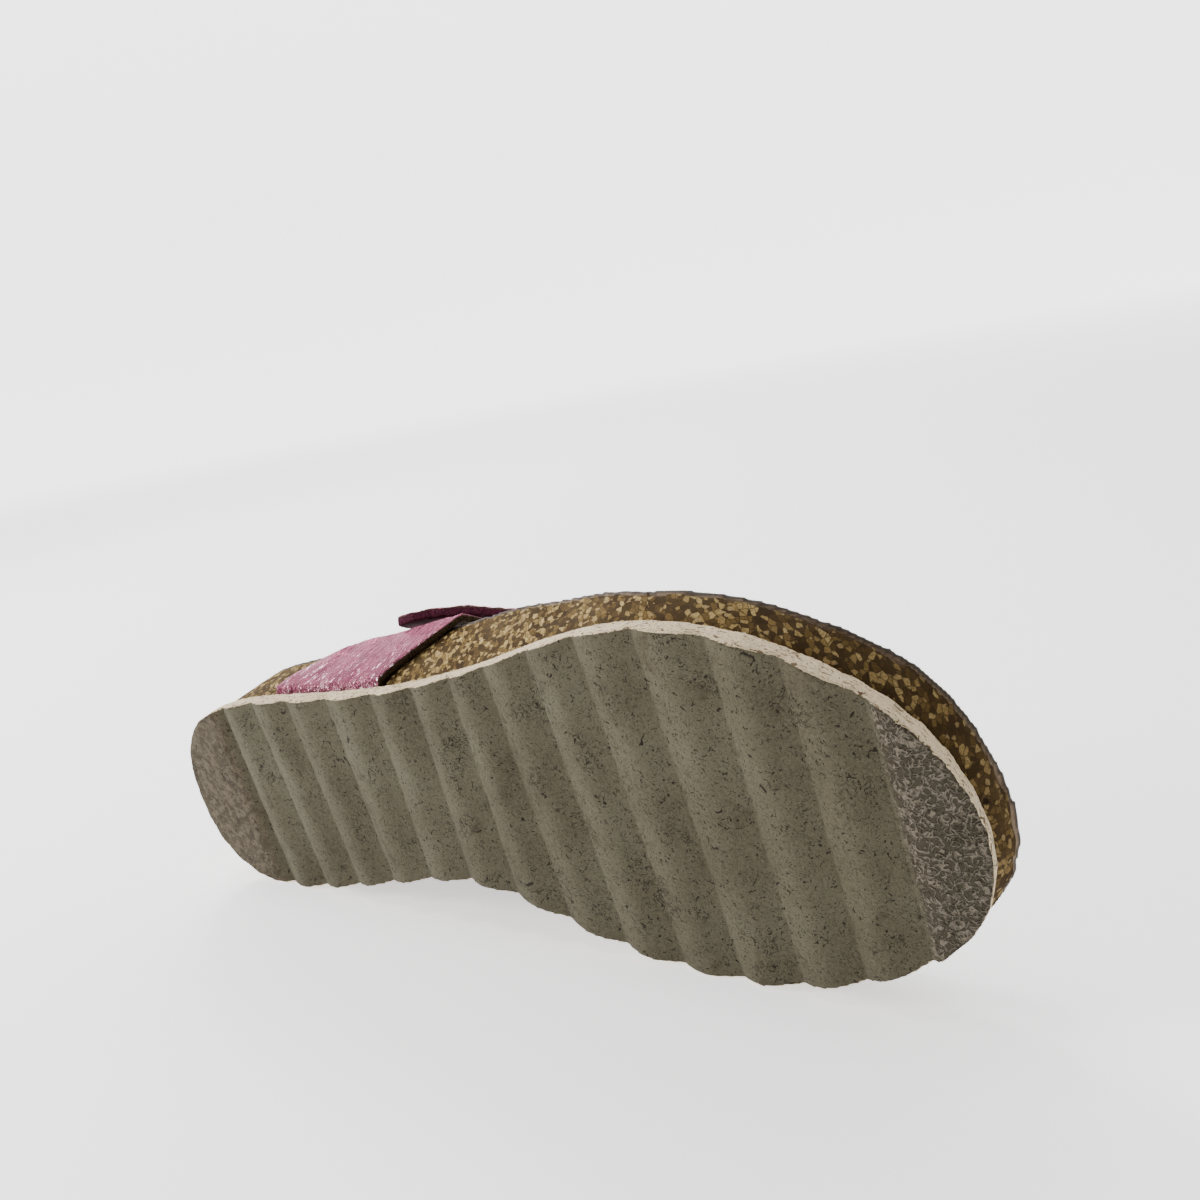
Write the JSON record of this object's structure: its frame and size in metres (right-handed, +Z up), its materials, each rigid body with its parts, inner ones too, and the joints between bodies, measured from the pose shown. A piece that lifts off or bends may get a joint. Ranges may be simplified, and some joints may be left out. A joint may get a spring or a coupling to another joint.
{
  "type": "cork footbed sandal",
  "caption": "Thong sandal with a cork footbed, rippled outsole, toe post and a buckled instep band, lying on its inner side.",
  "frame": {"origin": "centre of the bounding box on the ground, under the sandal as it lies on its inner side", "axes": "+X from the heel end to the toe end, -Y the way the tread faces, +Z up from the ground; the outer edge of the sandal is uppermost"},
  "size_m": [0.2472, 0.07, 0.0907],
  "materials": {
    "outsole_finish": "matt foamed sole rubber, grey-beige with dark flecks and a cream side edge",
    "cork_footbed_finish": "pressed cork granulate, sealed, semi-matt",
    "insole_finish": "napped lining leather",
    "side_strap_finish": "metallic pink leather with fine creases",
    "upper_finish": "metallic pink leather with fine creases",
    "toe_post_finish": "wrapped leather, semi-matt",
    "buckle_frame_finish": "nickel-coloured wire",
    "buckle_prong_finish": "nickel-coloured wire"
  },
  "bodies": {
    "root": {"outsole": "outsole_finish", "cork_footbed": "cork_footbed_finish", "insole": "insole_finish", "side_strap": "side_strap_finish", "upper": "upper_finish", "toe_post": "toe_post_finish", "buckle_frame": "buckle_frame_finish", "buckle_prong": "buckle_prong_finish"}
  },
  "joints": []
}
